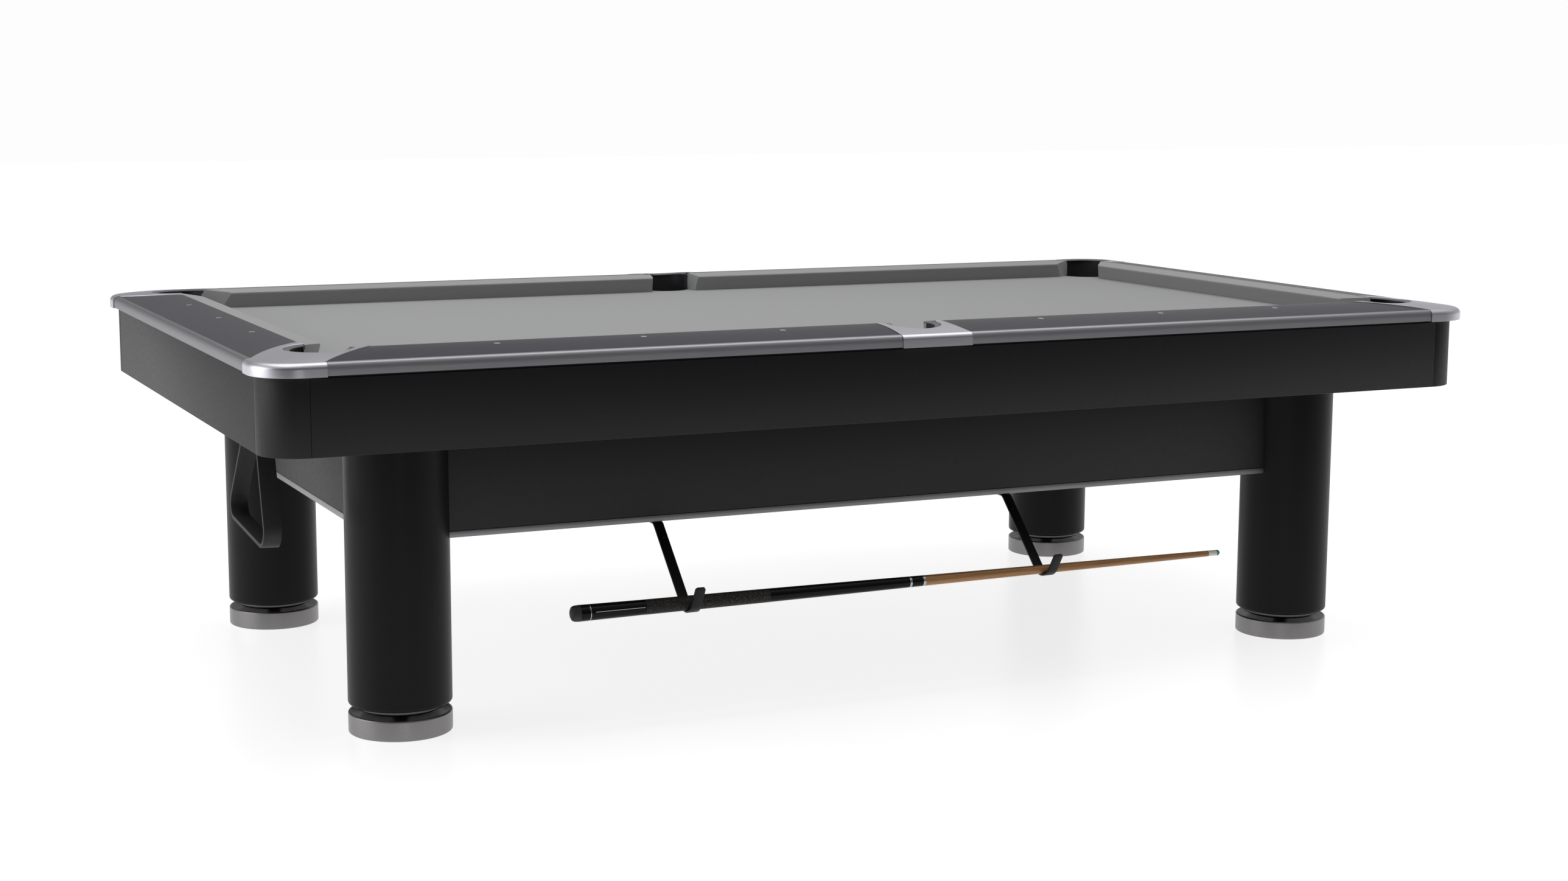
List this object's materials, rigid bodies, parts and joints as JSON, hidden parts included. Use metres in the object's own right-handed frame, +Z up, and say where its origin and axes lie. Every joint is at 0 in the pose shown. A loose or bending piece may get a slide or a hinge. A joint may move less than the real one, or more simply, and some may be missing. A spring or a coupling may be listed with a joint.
{
  "type": "pool table",
  "caption": "Pool table on round legs with screw feet, slate bed under cloth, cushioned rails, drop pockets, a cue resting in hooks under the front and a ball rack hung at one end.",
  "frame": {"origin": "on the floor, under the middle of the playing field", "axes": "+X along the table's length to the right as seen from the side that carries the cue, -Y towards that side, +Z up"},
  "size_m": [2.925, 1.6673, 0.8255],
  "materials": {
    "black_satin": "satin",
    "pewter": "satin",
    "polished_steel": "polished",
    "black_laminate": "satin",
    "cloth": "matte",
    "satin_casting": "satin",
    "brushed_trim": "satin",
    "liner_rubber": "matte",
    "black_board": "matte",
    "slate_stone": "matte",
    "cue_wood": "gloss",
    "black_steel": "satin",
    "black_plastic": "matte"
  },
  "bodies": {
    "root": {"bed_cloth": "cloth", "bed_frame": "black_board", "casting_back_left": "satin_casting", "casting_back_right": "satin_casting", "casting_front_left": "satin_casting", "casting_front_right": "satin_casting", "casting_side_back": "satin_casting", "casting_side_front": "satin_casting", "corner_panel_back_left": "black_board", "corner_panel_back_right": "black_board", "corner_panel_front_left": "black_board", "corner_panel_front_right": "black_board", "cue_hook_left": "black_steel", "cue_hook_right": "black_steel", "cushion_back_left": "cloth", "cushion_back_right": "cloth", "cushion_front_left": "cloth", "cushion_front_right": "cloth", "cushion_left": "cloth", "cushion_right": "cloth", "leg_back_left": "black_satin", "leg_back_right": "black_satin", "leg_front_left": "black_satin", "leg_front_right": "black_satin", "pocket_liner_back_left": "liner_rubber", "pocket_liner_back_right": "liner_rubber", "pocket_liner_front_left": "liner_rubber", "pocket_liner_front_right": "liner_rubber", "pocket_liner_side_back": "liner_rubber", "pocket_liner_side_front": "liner_rubber", "rack_hanger": "polished_steel", "rail_back_left": "black_laminate", "rail_back_right": "black_laminate", "rail_front_left": "black_laminate", "rail_front_right": "black_laminate", "rail_left": "black_laminate", "rail_right": "black_laminate", "skirt_back": "black_board", "skirt_front": "black_board", "skirt_left": "black_board", "skirt_right": "black_board", "slate": "slate_stone", "stretcher_back": "black_board", "stretcher_front": "black_board", "stretcher_left": "black_board", "stretcher_right": "black_board", "trim_back": "brushed_trim", "trim_front": "brushed_trim", "trim_left": "brushed_trim", "trim_right": "brushed_trim"},
    "cue": {"cue": "cue_wood"},
    "ball_rack": {"ball_rack": "black_plastic"},
    "foot_front_left": {"foot_ring_front_left": "pewter"},
    "screw_front_left": {"foot_screw_front_left": "polished_steel"},
    "foot_front_right": {"foot_ring_front_right": "pewter"},
    "screw_front_right": {"foot_screw_front_right": "polished_steel"},
    "foot_back_left": {"foot_ring_back_left": "pewter"},
    "screw_back_left": {"foot_screw_back_left": "polished_steel"},
    "foot_back_right": {"foot_ring_back_right": "pewter"},
    "screw_back_right": {"foot_screw_back_right": "polished_steel"}
  },
  "joints": [
    {"name": "foot_front_left_extend", "type": "slide", "parent": "root", "child": "foot_front_left", "axis": [0, 0, -1], "range_m": [0, 0.02]},
    {"name": "foot_front_left_screw", "type": "hinge", "parent": "foot_front_left", "child": "screw_front_left", "pos_m": [-1.1204, -0.557, 0.0525], "axis": [0, 0, 1], "range_deg": [0, 2390]},
    {"name": "foot_front_right_extend", "type": "slide", "parent": "root", "child": "foot_front_right", "axis": [0, 0, -1], "range_m": [0, 0.02]},
    {"name": "foot_front_right_screw", "type": "hinge", "parent": "foot_front_right", "child": "screw_front_right", "pos_m": [1.1204, -0.557, 0.0525], "axis": [0, 0, 1], "range_deg": [0, 2390]},
    {"name": "foot_back_left_extend", "type": "slide", "parent": "root", "child": "foot_back_left", "axis": [0, 0, -1], "range_m": [0, 0.02]},
    {"name": "foot_back_left_screw", "type": "hinge", "parent": "foot_back_left", "child": "screw_back_left", "pos_m": [-1.1204, 0.557, 0.0525], "axis": [0, 0, 1], "range_deg": [0, 2390]},
    {"name": "foot_back_right_extend", "type": "slide", "parent": "root", "child": "foot_back_right", "axis": [0, 0, -1], "range_m": [0, 0.02]},
    {"name": "foot_back_right_screw", "type": "hinge", "parent": "foot_back_right", "child": "screw_back_right", "pos_m": [1.1204, 0.557, 0.0525], "axis": [0, 0, 1], "range_deg": [0, 2390]},
    {"name": "cue_lift", "type": "slide", "parent": "root", "child": "cue", "axis": [0, -0.5736, 0.8192], "range_m": [0, 0.45]},
    {"name": "rack_swing", "type": "hinge", "parent": "root", "child": "ball_rack", "pos_m": [-1.3875, -0.4909, 0.68305], "axis": [1, 0, 0], "range_deg": [-15, 15]}
  ],
  "couplings": [
    {"joint": "foot_front_left_extend", "follows": "foot_front_left_screw", "m_per_rad": 0.00047746},
    {"joint": "foot_front_right_extend", "follows": "foot_front_right_screw", "m_per_rad": 0.00047746},
    {"joint": "foot_back_left_extend", "follows": "foot_back_left_screw", "m_per_rad": 0.00047746},
    {"joint": "foot_back_right_extend", "follows": "foot_back_right_screw", "m_per_rad": 0.00047746}
  ]
}
